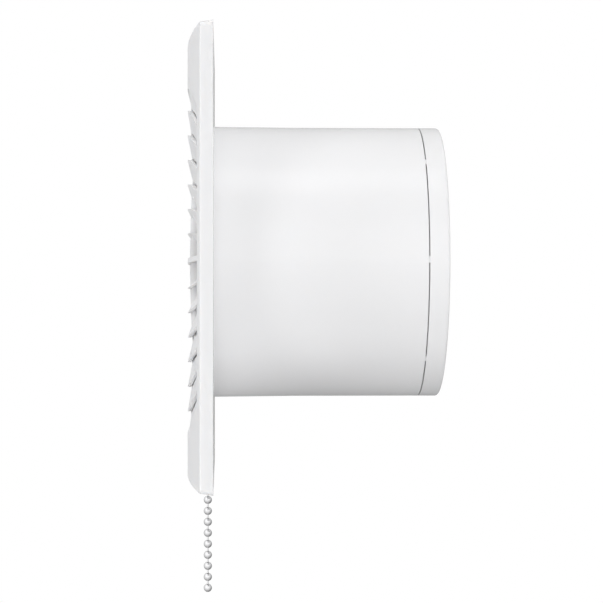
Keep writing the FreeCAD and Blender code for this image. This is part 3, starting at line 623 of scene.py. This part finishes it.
@dataclass(frozen=True)
class Winding:
    """Copper round the stator: a ring of end turns at each end, and a bundle of strands in each slot.

    Sections are rounded boxes. A fullness is a share of the room that the copper has, and a swell or a ridge
    is a share of the section's size.
    """

    inner: float = 13.5
    outer: float = 20.5
    end_turns: tuple[tuple[float, float], ...] = ((32.9, 37.9), (52.1, 57.1))
    roundness: float = 0.6
    ridge_width: float = 0.9
    ring_fullness: float = 0.93
    ring_swell: float = 0.05
    ring_ridge: float = 0.03
    ring_steps: int = 216
    ring_sides: int = 96
    slots: int = 6
    slot_half: float = 1.9
    slot_play: float = 0.4
    slot_overlap: float = 1.0
    slot_fullness: float = 0.95
    slot_ridge: float = 0.04
    slot_ridges: int = 24
    slot_steps: int = 12
    slot_sides: int = 72

    def ring(self, front: float, back: float) -> Surface:
        """Bundle of end turns in a ring about the duct axis.

        The section is a rounded box. Its size swells between the slots, and the strands are ridges round
        the section that creep sideways as they go round the ring.

        Args:
            front: First Y of the bundle.
            back: Last Y of the bundle.

        Returns:
            The ring's surface.
        """
        u = round_angles(self.ring_steps)[:, None]
        v = round_angles(self.ring_sides)[None, :]
        wide, deep = (self.outer - self.inner) / 2, (back - front) / 2
        strands = round((wide + deep) * 4 / self.ridge_width)
        swell = self.ring_fullness + self.ring_swell * np.cos(self.slots * u)
        ridge = swell - self.ring_ridge * np.abs(np.sin(strands * v / 2 + self.slots * u / 2))
        radius = (self.inner + self.outer) / 2 + wide * ridge * boxed(np.cos(v), self.roundness)
        y = (front + back) / 2 + deep * ridge * boxed(np.sin(v), self.roundness)
        return grid_surface(np.stack([radius * np.cos(u), y, radius * np.sin(u)], axis=-1), capped=False)

    def bundle(self, angle: float) -> Surface:
        """Straight bundle of strands in one slot: a rounded box section with ridges along it.

        Args:
            angle: Direction of the slot from +X, in degrees.

        Returns:
            The bundle's surface.
        """
        first = self.end_turns[0][1] - self.slot_overlap
        last = self.end_turns[1][0] + self.slot_overlap
        y = np.linspace(first, last, self.slot_steps)[:, None]
        v = round_angles(self.slot_sides)[None, :]
        ridge = self.slot_fullness - self.slot_ridge * np.abs(np.sin(self.slot_ridges * v / 2)) + 0 * y
        deep = (self.outer - self.inner - self.slot_play) / 2
        out = (self.inner + self.outer) / 2 + deep * (ridge * boxed(np.cos(v), self.roundness))
        side = self.slot_half * ridge * boxed(np.sin(v), self.roundness)
        c, s = math.cos(math.radians(angle)), math.sin(math.radians(angle))
        return grid_surface(np.stack([out * c - side * s, y + 0 * v, out * s + side * c], axis=-1))

    def surface(self) -> Surface:
        """All the copper: the two rings, and the bundles halfway between the stator's teeth.

        Returns:
            One surface of closed shells.
        """
        rings = [self.ring(*span) for span in self.end_turns]
        bundles = [self.bundle(360 / self.slots * (i + 0.5)) for i in range(self.slots)]
        return merged(rings + bundles)


@dataclass(frozen=True)
class PanScrews:
    """Three pan-head screws with a cross recess, on a circle about the duct axis and pointing along +Y.

    A blur is the width over which the recess's walls fall, and the first ring is a share of the head.
    """

    circle: float = 26.6
    angles: tuple[float, ...] = (-30.0, 90.0, 210.0)
    head_radius: float = 2.3
    head_front: float = 25.6
    head_back: float = 27.0
    crown_share: float = 0.6
    crown_power: int = 4
    arm_half: float = 0.32
    arm_blur: float = 0.04
    recess_radius: float = 1.35
    recess_blur: float = 0.06
    recess_depth: float = 0.55
    shank_radius: float = 1.0
    shank_end: float = 36.0
    point_length: float = 1.0
    point_share: float = 0.4
    sides: int = 96
    head_rings: int = 40
    first_ring: float = 0.02

    def screw(self, angle: float) -> Surface:
        """One screw.

        A profile is carried round the axis: over the domed head, under it and along the shank. Where the
        head is near its middle, a cross-shaped recess pulls the surface in.

        Args:
            angle: Place on the screw circle, in degrees.

        Returns:
            The screw's surface.
        """
        v = round_angles(self.sides)[None, :]
        head = np.linspace(self.first_ring, 1, self.head_rings)[:, None] * self.head_radius
        dome = (self.head_back - self.head_front) * self.crown_share
        crown = self.head_front + dome * (head / self.head_radius) ** self.crown_power
        arms = np.minimum(np.abs(head * np.cos(v)), np.abs(head * np.sin(v)))
        in_cross = 1 / (1 + np.exp((arms - self.arm_half) / self.arm_blur))
        recess = in_cross / (1 + np.exp((head - self.recess_radius) / self.recess_blur))
        top = np.stack([head * np.cos(v), crown + self.recess_depth * recess, head * np.sin(v)], axis=-1)
        rest = np.array([(self.head_radius, self.head_back), (self.shank_radius, self.head_back),
                         (self.shank_radius, self.shank_end - self.point_length),
                         (self.shank_radius * self.point_share, self.shank_end)])
        low = np.stack([rest[:, :1] * np.cos(v), rest[:, 1:] + 0 * v, rest[:, :1] * np.sin(v)], axis=-1)
        away = math.radians(angle)
        centre = self.circle * np.array([math.cos(away), 0, math.sin(away)])
        return grid_surface(np.concatenate([top, low]) + centre)

    def surface(self) -> Surface:
        """All the screws as one surface."""
        return merged([self.screw(angle) for angle in self.angles])


@dataclass
class Motor(SubAssembly):
    """Small induction motor in its cradle, with wound end turns and cross-recess screws."""

    nodes: tuple[str, ...] = ("motor_cradle", "motor_end_cap", "front_bush", "rear_bush", "stator_stack",
                              "rotor", "motor_shaft", "shaft_clip", "thrust_washer")
    winding: Winding = Winding()
    screws: PanScrews = PanScrews()

    def build(self, wardrobe: Wardrobe) -> None:
        """Makes the windings and the screws.

        Args:
            wardrobe: Source of the finishes.
        """
        windings = self.winding.surface().piece("wound_end_turns")
        wardrobe.dress_piece(windings, "stator_windings")
        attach(windings, Body.HOUSING.value)
        screws = self.screws.surface().piece("cross_recess_screws")
        wardrobe.dress_piece(screws, "end_cap_screws")
        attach(screws, Body.HOUSING.value)


@dataclass
class FanWheel(SubAssembly):
    """Seven-bladed axial wheel."""

    nodes: tuple[str, ...] = ("impeller",)


@dataclass
class PullSwitch(SubAssembly):
    """Switch case, pull bar and contacts, with a compression spring under the bar."""

    nodes: tuple[str, ...] = ("switch_housing", "switch_cover", "pull_bar", "bridge_contact",
                              "fixed_contacts", "switch_leads")
    axis_x: float = -44.0
    axis_y: float = -2.6
    floor_z: float = -71.6
    ceiling_z: float = -64.5
    travel: float = 4.0
    coil_radius: float = 1.15
    wire_radius: float = 0.2
    turns: float = 6.0
    play: float = 0.1
    coil_points: int = 290

    def build(self, wardrobe: Wardrobe) -> None:
        """Makes the spring under the bar.

        Args:
            wardrobe: Source of the finishes.
        """
        room = self.ceiling_z - self.floor_z
        pitch = (room - 2 * self.wire_radius - 2 * self.play) / self.turns
        start = (self.axis_x, self.axis_y, self.floor_z + self.wire_radius + self.play)
        path = helix(start, self.coil_radius, pitch, np.linspace(0, self.turns, self.coil_points))
        piece = wire(path, self.wire_radius).piece("switch_return_spring")
        wardrobe.dress_piece(piece, "switch_spring")
        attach(piece, Body.HOUSING.value)
        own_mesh(piece)


@dataclass
class BallChain(SubAssembly):
    """Hanging ball chain."""

    nodes: tuple[str, ...] = ("chain_anchor", "chain_beads", "chain_links")


@dataclass
class SupplyTerminals(SubAssembly):
    """Terminal block with its clamps and screws, and the motor leads."""

    nodes: tuple[str, ...] = ("terminal_block", "terminal_clamps", "terminal_screws", "motor_lead_live",
                              "motor_lead_neutral")


# Studio


@dataclass(frozen=True)
class SoftBox:
    """Square area light that aims at the middle of the fan; places and side in metres, power in watts.

    A mirrored one shows only as a band of light in glossy surfaces. The others light the surfaces and aren't
    mirrored.
    """

    name: str
    place: tuple[float, float, float]
    side: float
    power: float
    mirrored: bool = False
    aim: tuple[float, float, float] = (0.0, 0.035, 0.0)

    def build(self) -> None:
        """Adds the light."""
        lamp = bpy.data.lights.new(self.name, "AREA")
        lamp.shape = "SQUARE"
        lamp.size = self.side
        lamp.energy = self.power
        made = bpy.data.objects.new(self.name, lamp)
        made.location = self.place
        made.visible_glossy = self.mirrored
        made.visible_diffuse = not self.mirrored
        made.rotation_euler = (Vector(self.aim) - made.location).to_track_quat("-Z", "Y").to_euler()
        bpy.context.scene.collection.objects.link(made)
        log.info("light %s, %.1f W", self.name, self.power)


@dataclass
class Studio:
    """White room: floor, soft boxes, a sky that is brighter above, and the camera.

    Places are in metres, the camera's turn in degrees, its lens and sensor in millimetres.
    """

    floor_z: float = -0.22
    floor_half: float = 4.0
    # Matt paint on board: an even white, a shade under the room's, with no highlight.
    board: FadingBoard = FadingBoard("painted_board_white", "f6f6f6", "f3f3f3", 0.8, patch_mm=120.0)
    sky: float = 0.32
    sky_lean: tuple[float, float, float] = (0.0, 0.0, 0.46)
    mirrored_sky: float = 0.82
    mirrored_lean: tuple[float, float, float] = (0.45, -0.2, 0.4)
    sky_least: float = 0.06
    sky_seen: float = 1.0
    camera_place: tuple[float, float, float] = (0.7812, 0.0029, -0.01463)
    camera_turn: float = 2.158
    lens: float = 126.04
    sensor: float = 36.0
    boxes: tuple[SoftBox, ...] = (
        SoftBox("front", (1.42, 0.34, 0.34), 1.0, 8.9),
        SoftBox("room_front", (1.3, -0.78, 0.3), 0.4, 3.3),
        SoftBox("low_front", (0.42, 0.2, -1.44), 1.0, 10.4),
        SoftBox("room_side", (0.3, -1.6, 0.2), 1.2, 8.2),
        SoftBox("low_room_side", (0.45, -1.45, -0.62), 1.0, 8.5),
        SoftBox("wall_side", (0.1, 1.6, 0.5), 1.2, 6.0),
        SoftBox("far_side", (-1.6, 0.0, 0.3), 1.4, 14.0),
        SoftBox("top_front", (0.53, 0.06, 1.51), 0.6, 0.7, mirrored=True),
    )

    def build_floor(self) -> None:
        """Adds a square pale floor below the chain."""
        h, z = self.floor_half, self.floor_z
        mesh = bpy.data.meshes.new("floor")
        mesh.from_pydata([(-h, -h, z), (h, -h, z), (h, h, z), (-h, h, z)], [], [(0, 1, 2, 3)])
        floor = bpy.data.objects.new("floor", mesh)
        bpy.context.scene.collection.objects.link(floor)
        floor.data.materials.append(self.board.material())
        floor.visible_diffuse = False
        floor.visible_glossy = False
        floor.visible_shadow = False

    def sky_level(self, tree: bpy.types.NodeTree, way: Socket, mean: float,
                  lean: tuple[float, float, float]) -> Socket:
        """Brightness of the sky: its mean plus the direction's dot product with the lean, or the least level.

        Args:
            tree: The world's node tree.
            way: Direction that is looked at.
            mean: Brightness at right angles to the lean.
            lean: Direction and size of the sky's gradient.

        Returns:
            The level's socket.
        """
        along = add_node(tree, "VectorMath", {1: lean}, {0: way}, operation="DOT_PRODUCT")
        level = add_node(tree, "Math", {1: mean}, {0: along.outputs["Value"]}, operation="ADD")
        kept = add_node(tree, "Math", {1: self.sky_least}, {0: level.outputs[0]}, operation="MAXIMUM")
        return kept.outputs[0]

    def build_sky(self) -> None:
        """Lights the room softly from above, gives gloss a bright front to mirror and shows plain white."""
        world = bpy.data.worlds.new("white_room")
        world.use_nodes = True
        tree = world.node_tree
        tree.nodes.clear()
        way = add_node(tree, "TexCoord").outputs["Generated"]
        path = add_node(tree, "LightPath")
        lit = self.sky_level(tree, way, self.sky, self.sky_lean)
        mirrored = self.sky_level(tree, way, self.mirrored_sky, self.mirrored_lean)
        light = add_node(tree, "Mix", links={0: path.outputs["Is Glossy Ray"], 2: lit, 3: mirrored})
        seen = add_node(tree, "Mix", {3: self.sky_seen},
                        {0: path.outputs["Is Camera Ray"], 2: light.outputs[0]})
        sky = add_node(tree, "Background", {"Color": WHITE}, {"Strength": seen.outputs[0]})
        add_node(tree, "OutputWorld", links={"Surface": sky.outputs[0]})
        bpy.context.scene.world = world

    def build_camera(self) -> None:
        """Adds the camera, level and looking along -X with a small turn towards +Y."""
        lens = bpy.data.cameras.new("camera")
        lens.lens = self.lens
        lens.sensor_width = self.sensor
        made = bpy.data.objects.new("camera", lens)
        turn = math.radians(self.camera_turn)
        made.location = self.camera_place
        made.rotation_euler = Vector((-math.cos(turn), math.sin(turn), 0)).to_track_quat("-Z", "Y").to_euler()
        bpy.context.scene.collection.objects.link(made)
        bpy.context.scene.camera = made

    def build(self) -> None:
        """Builds the room and its lights."""
        self.build_camera()
        self.build_floor()
        self.build_sky()
        for box in self.boxes:
            box.build()
        bpy.context.scene.view_settings.view_transform = "Standard"


def main() -> None:
    """Builds the studio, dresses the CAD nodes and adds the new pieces."""
    logging.basicConfig(level=logging.INFO, format="%(name)s: %(message)s")
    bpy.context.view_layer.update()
    Studio().build()
    wardrobe = Wardrobe()
    assemblies: tuple[SubAssembly, ...] = (FrontCover(), DuctBody(), BackdraughtValve(), Motor(), FanWheel(),
                                           PullSwitch(), BallChain(), SupplyTerminals())
    for assembly in assemblies:
        assembly.dress(wardrobe)
        assembly.build(wardrobe)


if __name__ == "__main__":
    main()
